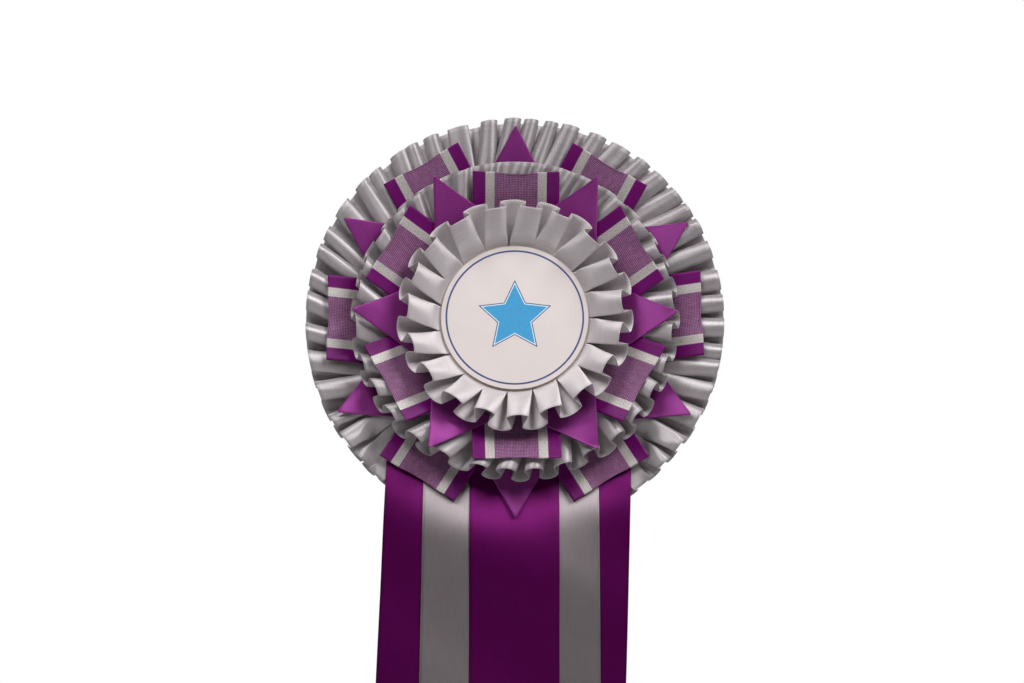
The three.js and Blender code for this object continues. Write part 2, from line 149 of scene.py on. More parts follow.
class Nodes:
    """A short way to build a material's node tree: most calls add a node and return its output."""

    def __init__(self, name):
        self.material = bpy.data.materials.new(name)
        self.material.use_nodes = True
        self.tree = self.material.node_tree
        self.shader = self.tree.nodes["Principled BSDF"]

    def put(self, socket, value):
        if isinstance(value, bpy.types.NodeSocket):
            self.tree.links.new(value, socket)
        else:
            socket.default_value = value

    def node(self, kind, *inputs, output=0, **settings):
        node = self.tree.nodes.new("ShaderNode" + kind)
        for key, value in settings.items():
            setattr(node, key, value)
        for slot, value in enumerate(inputs):
            self.put(node.inputs[slot], value)
        return node.outputs[output]

    def math(self, operation, *inputs):
        return self.node("Math", *inputs, operation=operation)

    def product(self, first, *others):
        for other in others:
            first = self.math("MULTIPLY", first, other)
        return first

    def total(self, first, *others):
        for other in others:
            first = self.math("ADD", first, other)
        return first

    def split(self, vector):
        node = self.tree.nodes.new("ShaderNodeSeparateXYZ")
        self.put(node.inputs[0], vector)
        return list(node.outputs)

    def cloth(self):
        """(along, across) of the ribbon in metres."""
        return self.split(self.node("UVMap", uv_map="cloth"))[:2]

    def on_piece(self):
        """The place on the piece in metres."""
        return self.node("TexCoord", output="Object")

    def noise(self, vector, scale, detail):
        """Noise from 0 to 1, with about scale features in a metre."""
        node = self.tree.nodes.new("ShaderNodeTexNoise")
        self.put(node.inputs["Vector"], vector)
        node.inputs["Scale"].default_value = scale
        node.inputs["Detail"].default_value = detail
        return node.outputs["Fac"]

    def grain(self, places, scales, detail, layer=0.0):
        """Noise with its own number of features in a metre each way."""
        scaled = [self.product(value, scale) for value, scale in zip(places, scales)]
        if len(scaled) == 2:
            scaled.append(layer)
        return self.noise(self.node("CombineXYZ", *scaled), 1, detail)

    def wave(self, along, period):
        """0 to 1 and back once in each period."""
        turn = self.product(along, 2 * math.pi / period)
        return self.math("MULTIPLY_ADD", self.math("SINE", turn), 0.5, 0.5)

    def ramp(self, value, low, high, to_low=0.0, to_high=1.0, kind="SMOOTHSTEP"):
        node = self.tree.nodes.new("ShaderNodeMapRange")
        node.interpolation_type = kind
        for slot, entry in enumerate((value, low, high, to_low, to_high)):
            self.put(node.inputs[slot], entry)
        return node.outputs[0]

    def line(self, value, low, high, to_low, to_high):
        """A straight ramp."""
        return self.ramp(value, low, high, to_low, to_high, "LINEAR")

    def mix(self, share, first, second, blend="MIX"):
        node = self.tree.nodes.new("ShaderNodeMix")
        node.data_type = "RGBA"
        node.blend_type = blend
        self.put(node.inputs["Factor"], share)
        self.put(node.inputs[MIX_FIRST], first)
        self.put(node.inputs[MIX_SECOND], second)
        return node.outputs[MIX_RESULT]

    def tint(self, colour, value):
        """The colour times a value round 1."""
        return self.mix(1, colour, self.node("CombineColor", value, value, value), "MULTIPLY")

    def bump(self, height, distance, strength):
        node = self.tree.nodes.new("ShaderNodeBump")
        node.inputs["Strength"].default_value = strength
        node.inputs["Distance"].default_value = distance
        self.put(node.inputs["Height"], height)
        return node.outputs[0]

    def set(self, **values):
        for key, value in values.items():
            self.put(self.shader.inputs[key.replace("_", " ")], value)


# Distances from a satin ribbon's edge, over which its picot band and the groove beside it begin or end. The
# groove is painted darker, as shade.
PICOT_BAND = mm(0.8, 0.5)
GROOVE_INNER = mm(1.5, 1.1)
GROOVE_OUTER = mm(0.7, 1.0)


def selvedge(n, along, across, width):
    """Shares from 0 to 1 at a ribbon's edges: the picot band, the groove beside it, where shade is painted,
    and the dots.
    """
    edge = n.math("SUBTRACT", width / 2, n.math("ABSOLUTE", across))
    band = n.ramp(edge, *PICOT_BAND)
    groove_shade = n.product(n.ramp(edge, *GROOVE_INNER), n.ramp(edge, *GROOVE_OUTER))
    dots = n.ramp(n.wave(along, PICOT), 0.35, 0.65)
    return band, groove_shade, dots


def satin(name, colour, dark, width, lustre=0.7, gloss=0.6, ribbed=0.05, rib_pitch=0.9 * MM):
    """Ribbon satin: floats that streak along it, fine weft ribs across it and picot dots on both selvedges.
    Its highlight spreads across the floats."""
    n = Nodes(name)
    along, across = n.cloth()
    streak = n.grain((along, across), (70, 3200), detail=1)
    cloud = n.grain((along, across), (45, 60), detail=3, layer=3.0)
    rib = n.wave(along, rib_pitch)
    band, groove_shade, dots = selvedge(n, along, across, width)
    value = n.product(
        n.math("MULTIPLY_ADD", streak, 0.08, 0.96),
        n.line(cloud, 0.3, 0.7, 0.97, 1.03),
        n.line(rib, 0, 1, 1 - ribbed, 1 + ribbed),
        # darkens the groove beside the picot band: painted shade
        n.line(groove_shade, 0, 1, 1.0, 0.8),
    )
    body = n.mix(n.ramp(streak, 0.2, 0.55, 0.35, 0.0), colour, dark)
    picot = n.mix(dots, dark, n.tint(colour, 1.12))
    n.set(Base_Color=n.tint(n.mix(band, body, picot), value))
    n.set(Roughness=n.line(streak, 0.2, 0.8, gloss - 0.03, gloss + 0.05))
    n.set(Metallic=lustre, Specular_IOR_Level=0.4, Anisotropic=1.0, Anisotropic_Rotation=0.25)
    n.set(Sheen_Weight=0.03, Sheen_Roughness=0.4)
    n.set(Tangent=n.node("Tangent", direction_type="UV_MAP", uv_map="cloth"))
    height = n.total(n.product(rib, 0.35), n.product(streak, 0.35), n.product(dots, band, 1.6))
    n.set(Normal=n.bump(height, 0.04 * MM, 0.45))
    return n.material


METAL_INNER = 12.4 * MM        # where a silver stripe starts and ends, from the ribbon's middle
METAL_OUTER = 17.5 * MM
STRIPE_EDGE = 0.1 * MM         # how sharply one stripe turns into the next
STRIPED_RIB = 0.72 * MM        # pitch of the ribs in its purple edges
WEFT = 0.95 * MM               # pitch of the sheer threads, along and across the ribbon
WARP = 0.88 * MM
SEAM = mm(0.5, 0.2)            # distances from a seam over which its pale dots begin
TWIST = 0.6 * MM               # pitch of the sewing thread's twist


def organza(n, along, across, threads):
    """Sheer weave: paler threads over the dark that shows through, cloudy, with a few bright specks."""
    moire = n.grain((along, across), (160, 420), detail=3, layer=5.0)
    speck = n.grain((along, across), (1300, 1300), detail=1, layer=9.0)
    colour = n.mix(threads, srgb(80, 28, 76), srgb(156, 106, 148))
    colour = n.tint(colour, n.line(moire, 0.25, 0.75, 0.78, 1.2))
    return n.mix(n.ramp(speck, 0.66, 0.74), colour, srgb(196, 160, 120))


def striped(name):
    """Novelty ribbon: purple satin edges, two metallic silver stripes and a sheer purple organza middle."""
    n = Nodes(name)
    along, across = n.cloth()
    side = n.math("ABSOLUTE", across)
    in_purple = n.ramp(side, METAL_OUTER, METAL_OUTER + STRIPE_EDGE)
    past_sheer = n.ramp(side, METAL_INNER, METAL_INNER + STRIPE_EDGE)
    in_metal = n.product(past_sheer, n.math("SUBTRACT", 1, in_purple))
    in_sheer = n.math("SUBTRACT", 1, n.total(in_purple, in_metal))

    streak = n.grain((along, across), (60, 2500), detail=1)
    rib = n.wave(along, STRIPED_RIB)
    purple = n.mix(n.ramp(streak, 0.3, 0.6), srgb(90, 0, 84), srgb(106, 4, 100))
    purple = n.tint(purple, n.line(rib, 0, 1, 0.96, 1.04))
    glitter = n.grain((along, across), (2600, 1400), detail=2, layer=1.0)
    metal = n.mix(n.ramp(glitter, 0.4, 0.6), srgb(156, 149, 147), srgb(208, 202, 199))
    weft = n.ramp(n.wave(along, WEFT), 0.35, 0.9)
    warp = n.ramp(n.wave(across, WARP), 0.45, 0.95)
    threads = n.math("MAXIMUM", weft, warp)
    sheer = organza(n, along, across, threads)

    colour = n.mix(in_purple, n.mix(in_metal, sheer, metal), purple)
    from_seam = n.math("ABSOLUTE", n.math("SUBTRACT", side, METAL_OUTER))
    seam = n.product(n.ramp(from_seam, *SEAM), n.wave(along, PICOT), 0.6)
    n.set(Base_Color=n.mix(seam, colour, srgb(214, 206, 204)))
    n.set(Metallic=n.product(in_metal, 0.25), Roughness=n.line(in_metal, 0, 1, 0.44, 0.5))
    n.set(Specular_IOR_Level=0.2)
    open_weave = n.product(in_sheer, n.line(threads, 0, 1, 0.5, 0.08))
    n.set(Alpha=n.math("SUBTRACT", 1, open_weave))
    height = n.total(n.product(threads, in_sheer), n.product(glitter, in_metal), n.product(rib, in_purple))
    n.set(Normal=n.bump(height, 0.06 * MM, 0.5))
    return n.material


def card(name, colour, fibre=0.06, rough=0.8):
    """Paperboard: a matt face with faint cloudy fibres."""
    n = Nodes(name)
    at = n.on_piece()
    fine = n.noise(at, 900, detail=4)
    cloud = n.noise(at, 60, detail=3)
    value = n.math("MULTIPLY_ADD", fine, fibre, 1 - fibre / 2)
    value = n.product(value, n.line(cloud, 0.3, 0.7, 0.98, 1.02))
    n.set(Base_Color=n.tint(colour, value), Roughness=rough, Specular_IOR_Level=0.35)
    n.set(Normal=n.bump(fine, 0.03 * MM, 0.4))
    return n.material


def ink(name, colour):
    """Printed ink on coated paper, very slightly uneven."""
    n = Nodes(name)
    cloud = n.noise(n.on_piece(), 500, detail=3)
    n.set(Base_Color=n.tint(colour, n.line(cloud, 0.3, 0.7, 0.95, 1.05)))
    n.set(Roughness=0.45, Specular_IOR_Level=0.4)
    return n.material


def foam(name):
    """Closed-cell foam: small pits, painted darker towards their middles as shade."""
    n = Nodes(name)
    cells = n.tree.nodes.new("ShaderNodeTexVoronoi")
    n.put(cells.inputs["Vector"], n.on_piece())
    cells.inputs["Scale"].default_value = 1400
    pits = cells.outputs["Distance"]
    # Darker towards the middle of each pit: painted shade.
    n.set(Base_Color=n.tint(srgb(238, 236, 230), n.line(pits, 0, 0.7, 0.9, 1.0)))
    n.set(Roughness=0.9, Normal=n.bump(pits, 0.08 * MM, 0.6))
    return n.material


def steel(name):
    """Nickel-plated steel with faint drawn lines and small worn spots."""
    n = Nodes(name)
    along, depth, up = n.split(n.on_piece())
    lines = n.grain((along, up, depth), (120, 5000, 5000), detail=2)
    spots = n.grain((along, up, depth), (700, 700, 700), detail=3)
    n.set(Base_Color=n.tint(srgb(196, 198, 202), n.line(spots, 0.3, 0.75, 1.03, 0.88)))
    n.set(Metallic=1.0, Roughness=n.line(lines, 0.2, 0.8, 0.24, 0.34))
    n.set(Normal=n.bump(lines, 0.01 * MM, 0.12))
    return n.material


def thread(name):
    """Twisted sewing thread."""
    n = Nodes(name)
    along, across = n.cloth()
    twist = n.wave(n.total(along, n.product(across, 0.6)), TWIST)
    n.set(Base_Color=n.tint(srgb(222, 216, 210), n.line(twist, 0, 1, 0.82, 1.05)))
    n.set(Roughness=0.7, Normal=n.bump(twist, 0.06 * MM, 0.7))
    return n.material


# Copies of one satin, lit and shaded for the light that reaches each: the tails' silver is darker, painted
# shade; each tier's silver is painted light and shade, lightest on the inner tier; the folded points' purple
# is lighter and paler, painted sheen.
SILVER_PAINTED_SHADE = satin("silver_satin", srgb(180, 169, 173), srgb(148, 137, 141), RIBBON, lustre=0.78)
# Copies of the silver satin for the three tiers, each lit to match its tier: painted light and shade.
PLEATED_OUTER = satin("silver_satin_outer_painted_shading", srgb(192, 185, 187), srgb(146, 140, 143), RIBBON,
                      lustre=0.5, gloss=0.52)
PLEATED_MIDDLE = satin("silver_satin_middle_painted_shading", srgb(194, 187, 189), srgb(152, 146, 148), RIBBON,
                       lustre=0.45, gloss=0.56)
PLEATED_INNER = satin("silver_satin_inner_painted_shading", srgb(208, 200, 202), srgb(172, 164, 166), RIBBON,
                      lustre=0.28, gloss=0.64)
PURPLE = satin("purple_satin", srgb(114, 8, 102), srgb(80, 2, 72), RIBBON)
PURPLE_WIDE = satin("purple_satin_wide", srgb(114, 8, 102), srgb(80, 2, 72), WIDE)
# A lighter, paler copy of the purple satin for the folded points: painted sheen.
PURPLE_FOLDED_PAINTED_SHEEN = satin("purple_satin_folded_painted_sheen", srgb(146, 54, 138), srgb(110, 30, 104), RIBBON,
                      lustre=0.4, gloss=0.5, ribbed=0.13, rib_pitch=1.25 * MM)
STRIPED = striped("novelty_ribbon")
THREAD = thread("sewing_thread")
WHITE_CARD = card("white_card", srgb(238, 235, 230))
GREY_BOARD = card("grey_board", srgb(168, 161, 152), fibre=0.25, rough=0.9)
BOARD_EDGE = card("centre_board_card", srgb(206, 190, 170), fibre=0.2, rough=0.9)
PAPER = card("coated_paper", srgb(214, 204, 202), fibre=0.03, rough=0.5)
NAVY = ink("navy_ink", srgb(62, 76, 122))
BLUE = ink("blue_ink", srgb(62, 150, 200))
PALE = ink("pale_ink", srgb(206, 226, 236))
FOAM = foam("white_foam")
STEEL = steel("nickel_steel")

# ---------------- pleated frills


def fine_ends(count):
    """Spots from 0 up to 1, closest together near both ends."""
    return (1 - np.cos(np.arange(count) * math.pi / count)) / 2


class Frill:
    """A ring of box-pleated ribbon. Each pleat is a front panel, a return, a back panel and a return, between
    creases that keep their places in the cloth. The pleats lie flat at the heading and open to the free edge,
    along a curve in the (radius, forward) plane whose lobes stand out square to the tilt."""

    PANEL_STEPS = 14
    RETURN_STEPS = 8
    PLEAT_STEPS = 2 * (PANEL_STEPS + RETURN_STEPS)
    CURVE_STEPS = 200
    # How much the pleats differ: shares of a width or a bulge, angles, and distances at the free edge.
    PANEL_SPREAD = 0.035
    RETURN_SPREAD = 0.05
    BULGE_SPREAD = 0.12
    TURN_SPREAD = math.radians(4)
    BOW_SPREAD = math.radians(14)
    LEAN_SPREAD = 1.0 * MM
    RISE_SPREAD = 0.7 * MM
    # A pleat's shape where it lies flat, and how that changes as it opens.
    FLAT_BULGE = math.radians(2)
    FLAT_SLANT = 3.5           # degrees
    SLANT_CLOSED_BY = 2.5
    CREASE = 0.2 * MM
    PRESSED_OPENING = 0.05
    # The search for how far the returns turn.
    LEAST_TURN = math.radians(40)
    MOST_TURN = math.radians(178)
    HALVINGS = 24
    BELOW_CREST = 80           # per cent of the lobes stay below the height that counts as their crest

    def __init__(self, pleats, cloth, start, bend, end, tilt, bulge, seed, first, rows, pressed=0.0,
                 loose=1.0, opens=0.9):
        """cloth is the ribbon's length in one pleat. start, bend and end steer the curve, as (radius,
        forward). tilt, bulge and first, the first pleat's place round the ring, are in degrees. Pleats stay
        flat over the width pressed. loose scales how uneven they are. opens below 1 opens them sooner."""
        self.pleats = pleats
        self.loose = loose
        self.opens = opens
        self.rows = rows
        self.pressed = pressed
        self.bulge = math.radians(bulge)
        self.tilt = math.radians(tilt)
        self.first = math.radians(first)
        self.random = np.random.default_rng(seed)
        share = np.linspace(0, 1, self.CURVE_STEPS)[:, None]
        self.curve = (1 - share) ** 2 * np.array(start) + 2 * share * (1 - share) * np.array(bend)
        self.curve += share**2 * np.array(end)
        self.fold_cloth(cloth, 2 * math.pi * start[0] / pleats)
        self.shape()

    def fold_cloth(self, cloth, heading_period):
        """Lays out the creases, so that the pleats close up flat at the heading."""
        each_side = (self.pleats, 2)
        panel = (cloth + heading_period) / 4
        panels = panel * (1 + self.random.normal(0, self.PANEL_SPREAD * self.loose, each_side))
        uneven = 1 + self.random.normal(0, self.RETURN_SPREAD * self.loose, each_side)
        returns = (cloth / 2 - panel) * uneven
        spots = []
        for side in range(2):
            spots.append(panels[:, side, None] * fine_ends(self.PANEL_STEPS))
            spots.append(returns[:, side, None] * fine_ends(self.RETURN_STEPS))
        lengths = np.stack([panels[:, 0], returns[:, 0], panels[:, 1], returns[:, 1]], axis=1)
        starts = np.concatenate([[0], np.cumsum(lengths.reshape(-1))])
        self.cloth_length = starts[-1]
        pieces = [starts[part:-1:4][:, None] + spots[part] for part in range(4)]
        self.along = np.concatenate(pieces, axis=1).reshape(-1)
        self.step = np.diff(np.append(self.along, self.cloth_length))
        middle = self.along + self.step / 2
        part = np.searchsorted(starts, middle, side="right") - 1
        self.part = part % 4
        self.pleat = part // 4
        self.from_start = middle - starts[part]
        self.to_end = starts[part + 1] - middle

    def directions(self, turn, bulge, bow, slant, round_off):
        """Direction of the ribbon's path, from the bulge and slant of its panels and the turn and bow of its
        returns. The slant lets panels that are wider than a pleat overlap like tiles."""
        across = (self.to_end - self.from_start) / (self.to_end + self.from_start)
        in_panel = self.part % 2 == 0
        side = np.where(self.part < 2, 1.0, -1.0)
        soft_start = 0.5 * np.exp(-self.from_start / round_off)
        soft_end = 0.5 * np.exp(-self.to_end / round_off)
        panel = side * (bulge * across + slant + (turn - bulge) * (soft_start - soft_end))
        back = -side * (turn + bow * across + (bulge - turn) * (soft_start + soft_end))
        return np.where(in_panel, panel, back)

    def fit_row(self, radius, opening, spread, bulge, bows):
        """Turns the returns until one row of the ribbon goes exactly once round the ring."""
        slant = math.radians(self.FLAT_SLANT - self.SLANT_CLOSED_BY * opening)
        round_off = self.CREASE * (1 + opening)
        low, high = self.LEAST_TURN, self.MOST_TURN
        for _ in range(self.HALVINGS):
            turn = (low + high) / 2
            heading = self.directions(turn + spread * opening, bulge, bows * opening, slant, round_off)
            too_long = (np.cos(heading) * self.step).sum() > 2 * math.pi * radius
            low, high = (turn, high) if too_long else (low, turn)
        return heading

    def shape(self):
        random = self.random
        spread = random.normal(0, self.TURN_SPREAD * self.loose, self.pleats)[self.pleat]
        bows = random.normal(0, self.BOW_SPREAD, (self.pleats, 4))[self.pleat, self.part]
        bulges = (1 + random.normal(0, self.BULGE_SPREAD * self.loose, self.pleats))[self.pleat]
        lean = self.wander(random.normal(0, self.LEAN_SPREAD, self.pleats))
        rise = self.wander(random.normal(0, self.RISE_SPREAD * self.loose, self.pleats))
        rows = []
        crest = []
        for share in np.linspace(0, 1, self.rows):
            radius, forward, opening = self.middle(share)
            bulge = (self.FLAT_BULGE + (self.bulge - self.FLAT_BULGE) * opening) * bulges
            heading = self.fit_row(radius, opening, spread, bulge, bows)
            x = np.concatenate([[0], np.cumsum(np.cos(heading) * self.step)])
            x = x[:-1] * (2 * math.pi * radius / x[-1]) + lean * opening
            height = self.level(np.cumsum(np.sin(heading) * self.step)) + rise * opening
            tilt = self.tilt * opening
            out = radius - math.sin(tilt) * height
            angle = self.first + x / radius
            rows.append(place(out * np.cos(angle), out * np.sin(angle), forward + math.cos(tilt) * height))
            top = np.percentile(height.reshape(self.pleats, -1).max(axis=1), self.BELOW_CREST)
            crest.append((radius - math.sin(tilt) * top, forward + math.cos(tilt) * top))
        self.points = np.array(rows)
        self.crest = np.polyfit(*np.array(crest).T, 2)
        across = np.linspace(-RIBBON / 2, RIBBON / 2, self.rows)
        self.uv = np.stack(np.meshgrid(self.along, across), axis=-1)

    def middle(self, share):
        """Radius, forward and opening of the pleats at a share of the ribbon's width."""
        on_curve = max(0.0, (share * RIBBON - HEADING) / (RIBBON - HEADING))
        spot = on_curve * (len(self.curve) - 1)
        steps = np.arange(len(self.curve))
        radius = np.interp(spot, steps, self.curve[:, 0])
        forward = np.interp(spot, steps, self.curve[:, 1])
        before_curve = max(0.0, HEADING - share * RIBBON)
        held = self.pressed / (RIBBON - HEADING)
        flat = self.PRESSED_OPENING * min(1.0, on_curve / held) if held else 0.0
        opening = flat + (1 - flat) * (max(0.0, on_curve - held) / (1 - held)) ** self.opens
        return radius - before_curve, forward, opening

    def level(self, height):
        """Takes out the drift from pleat to pleat, so that every pleat starts and ends level."""
        height = np.concatenate([[0], height])
        starts = np.arange(0, len(height), self.PLEAT_STEPS)
        height -= np.interp(np.arange(len(height)), starts, height[starts])
        return height[:-1] - height[:-1].mean()

    def wander(self, values):
        """One value per pleat, smoothed along the ring."""
        spots = np.arange(len(self.along)) / self.PLEAT_STEPS
        wrapped = np.concatenate([values, values[:1]])
        low = np.floor(spots).astype(int)
        return wrapped[low] + (wrapped[low + 1] - wrapped[low]) * smooth(spots - low)

    def front(self, radius):
        """Height of the lobes' crests at a radius, on a smooth curve."""
        return np.polyval(self.crest, radius)

    def build(self, name, node, material):
        piece = sheet_mesh(name, self.points, self.uv, material, wrap=True)
        finish_piece(piece, "silver_satin", node)


OUTER = Frill(50, 41 * MM, start=mm(82.5, 4.1), bend=mm(103, 6.6), end=mm(120.2, 14.8),
              tilt=3, bulge=58, seed=11, first=1.8, rows=16, loose=2.0, opens=0.55)
MIDDLE = Frill(33, 43 * MM, start=mm(58.5, 11.5), bend=mm(77.5, 13.4), end=mm(92.2, 23.4),
               tilt=18, bulge=62, seed=23, first=2.0, rows=16, loose=1.5, opens=0.55)
INNER = Frill(19, 47 * MM, start=mm(34.8, 16.8), bend=mm(51, 17.5), end=mm(64.3, 33.6),
              tilt=34, bulge=38, seed=37, first=0.5, rows=20, pressed=9.5 * MM)

# ---------------- what lies on the frills
ON_LOBES = 0.35 * MM           # from a lobe's crest to the ribbon that lies on it
OVER_OUTER_HEADING = 5.6 * MM  # lowest that ribbon lies over the inner part of a frill
OVER_MIDDLE_HEADING = 13 * MM
RIM = 119 * MM                 # radius at which the tails leave the outer frill
TAIL_HEAD = 40 * MM            # how far below the centre the tails start to follow the frill
UNDER_TAILS = 5.8 * MM         # lowest that the tails press the frill
HANG_REST = 6 * MM             # how far forward the tails hang at last
HANG_TOP = 13.5 * MM           # how far forward the tails are where they pass over the rim
HANG_LIFT = 1.5 * MM           # how much higher the hanging part starts, since the soft bend lowers it
HANG_SLOPE = 0.32
HANG_START = 92 * MM
HANG_LENGTH = 89 * MM
HANG_POWER = 1.7
HANG_BEND = 7 * MM
LAYER = 0.75 * MM              # from one layer of tails to the next
TAILS_LEFT = -87 * MM          # the part of the outer frill that the tails cover
TAILS_RIGHT = 81 * MM
TAILS_TOP = -55 * MM
TAILS_FADE = mm(9, 15)         # how gradually that part begins, sideways and downwards
UNDER_GAP = 0.7 * MM           # from the pressed lobes to the tail on them
OUTER_FREE = 117 * MM          # radius beyond which the lobes stand free
MIDDLE_FREE = 92 * MM
FREE_FADE = 4 * MM
BOARD_GAP = 0.4 * MM
PAST_BOARD = 0.6 * MM          # where the inner frill starts to rise past the board, and how far and soon
BOARD_RISE = 30 * MM
BOARD_RISE_OVER = 15 * MM
# How softly two shapes meet: crests and headings, the tails' slope and the cover, and cloth and cloth.
SOFT_CREST = 0.8 * MM
SOFT_SLOPE = 2 * MM
SOFT_CLOTH = 0.5 * MM


def over(frill, heading, x, up):
    """Height of ribbon lying on a frill's lobes."""
    return soft_max(frill.front(np.hypot(x, up)), heading, SOFT_CREST) + ON_LOBES


def over_outer(x, up):
    return over(OUTER, OVER_OUTER_HEADING, x, up)


def over_middle(x, up):
    return over(MIDDLE, OVER_MIDDLE_HEADING, x, up)


def tail_forward(x, up):
    """Height of the back of a tail: over the lobes, round the rim in a wide bend, then down and back."""
    radius = np.hypot(x, np.minimum(up, -TAIL_HEAD))
    pressed = soft_max(HANG_TOP + HANG_SLOPE * (radius - RIM), UNDER_TAILS, SOFT_SLOPE)
    cone = soft_min(over_outer(radius, 0), pressed, SOFT_CLOTH)
    drop = np.maximum(0, -up - HANG_START)
    rim = HANG_TOP + HANG_LIFT
    hanging = HANG_REST + (rim - HANG_REST) * np.exp(-((drop / HANG_LENGTH) ** HANG_POWER))
    return soft_min(cone, hanging, HANG_BEND)


def press(frill, height_at, under=1.0):
    """Squashes the lobes down to what lies on them. under is 1 where it lies, falling to 0 beside it."""
    x, up = frill.points[..., 0], frill.points[..., 2]
    forward = -frill.points[..., 1]
    squashed = soft_min(forward, height_at(x, up), SOFT_CLOTH)
    frill.points[..., 1] = -(forward + under * (squashed - forward))


def press_inside(frill, rim):
    """Evens out the lobes under the decorations, and leaves them free near the rim."""
    radius = np.hypot(frill.points[..., 0], frill.points[..., 2])
    crest = frill.front(radius) + 0.2 * MM
    press(frill, lambda x, up: crest, smooth((rim - radius) / FREE_FADE))


def under_tails(x, up):
    """1 where the tails cover the outer frill."""
    across = smooth((x - TAILS_LEFT) / TAILS_FADE[0]) * smooth((TAILS_RIGHT - x) / TAILS_FADE[0])
    return across * smooth((TAILS_TOP - up) / TAILS_FADE[1])


def under_board(x, up):
    """The inner frill stays flat under the centre board, and rises past its edge."""
    past_edge = np.hypot(x, up) - DISC_RADIUS - PAST_BOARD
    return BOARD_BACK - BOARD_GAP + BOARD_RISE * smooth(past_edge / BOARD_RISE_OVER)


press_inside(OUTER, OUTER_FREE)
covered = under_tails(OUTER.points[..., 0], OUTER.points[..., 2])
press(OUTER, lambda x, up: tail_forward(x, up) - UNDER_GAP, covered)
press_inside(MIDDLE, MIDDLE_FREE)
press(INNER, under_board)
OUTER.build("outer_frill_ribbon", "outer_frill", PLEATED_OUTER)
MIDDLE.build("middle_frill_ribbon", "middle_frill", PLEATED_MIDDLE)
INNER.build("inner_frill_ribbon", "inner_frill", PLEATED_INNER)

# ---------------- stitching
STITCHES = 90
STITCH_POINTS = 8 * STITCHES
THREAD_SIDES = 8
THREAD_RADIUS = 0.2 * MM
THREAD_DIP = 0.12 * MM
THREAD_GIRTH = 1.3 * MM


def stitching(name, node):
    """A row of lock stitches round a heading: a thread that dips between its stitches."""
    low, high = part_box(node)
    radius = (high[0] - low[0]) / 2
    forward = -(low[1] + high[1]) / 2
    around = np.linspace(0, 2 * math.pi, STITCH_POINTS, endpoint=False)
    turn = np.linspace(0, 2 * math.pi, THREAD_SIDES, endpoint=False)[:, None]
    stitch = np.cos(around * STITCHES)
    thick = THREAD_RADIUS * (0.8 + 0.2 * stitch)
    out = radius + thick * np.cos(turn)
    height = forward + THREAD_DIP * stitch + thick * np.sin(turn)
    points = place(out * np.cos(around), out * np.sin(around), height)
    points = np.concatenate([points, points[:1]])
    rows = np.linspace(0, THREAD_GIRTH, len(points))
    uv = np.stack(np.meshgrid(around * radius, rows), axis=-1)
    piece = sheet_mesh(name, points, uv, THREAD, wrap=True, thickness=0)
    weld(piece)
    finish_piece(piece, "thread", node)


for tier in ("outer", "middle", "inner"):
    stitching(f"{tier}_lock_stitching", f"{tier}_stitching")

# ---------------- tails
TAIL_ROWS = 150
TAIL_COLUMNS = 17
TAIL_ROW_POWER = 0.9           # below 1, so that rows stand closer towards the tip
NOTCH = 24 * MM
LEVEL_WIDTHS = -100 * MM       # height at which a tail's edges have their places at the rim
FREE_FROM = -106 * MM          # below this height a tail leaves the frill and starts to wave
FREE_OVER = 52 * MM
CREASE_AT = 0.47               # shares of the ribbon's width
CREASE_WIDTH = 0.05
SWAY = 1.7 * MM
SWAY_ACROSS = 27 * MM          # run of the sway for each radian, sideways and down
SWAY_DOWN = 20 * MM
SWAY_START = 1.9
RIPPLE = 0.2 * MM
RIPPLE_DOWN = 23 * MM


def tail_waves(x, up, layer):
    """How a tail sways forward and back where it hangs free."""
    sway = SWAY * np.sin(x / SWAY_ACROSS + up / SWAY_DOWN + SWAY_START)
    return sway + RIPPLE * np.sin(up / RIPPLE_DOWN + 3 * layer)


def tail(name, material, slot, width, rim, tip, top, end, layer, curl, crease=0.0):
    """A flat ribbon tail. rim and tip hold the x of its two edges, top and end the heights of its corners,
    where end is measured from the lowest tip of all. A tail with a level end is notched."""
    notched = end[0] == end[1]
    across = np.linspace(0, 1, TAIL_COLUMNS)[None]
    share = (np.linspace(0, 1, TAIL_ROWS) ** TAIL_ROW_POWER)[:, None]
    notch = NOTCH * (1 - np.abs(2 * across - 1)) if notched else 0
    high = top[0] + (top[1] - top[0]) * across
    low = TAIL_TIP + end[0] + (end[1] - end[0]) * across + notch
    up = high + (low - high) * share
    lower = (up - LEVEL_WIDTHS) / (TAIL_TIP - LEVEL_WIDTHS)
    left = rim[0] + (tip[0] - rim[0]) * lower
    right = rim[1] + (tip[1] - rim[1]) * lower
    x = left + (right - left) * across
    free = smooth((FREE_FROM - up) / FREE_OVER)
    bow = curl * (1 - (2 * across - 1) ** 2)
    fold = crease * np.exp(-((across - CREASE_AT) / CREASE_WIDTH) ** 2)
    forward = tail_forward(x, up) + layer * LAYER + free * (bow + tail_waves(x, up, layer) + fold)
    along = np.broadcast_to(top[0] - up, x.shape)
    uv = np.stack([along, np.broadcast_to((across - 0.5) * width, x.shape)], axis=-1)
    piece = sheet_mesh(name, place(x, up, forward), uv, material)
    finish_piece(piece, slot, name.replace("_ribbon", ""))


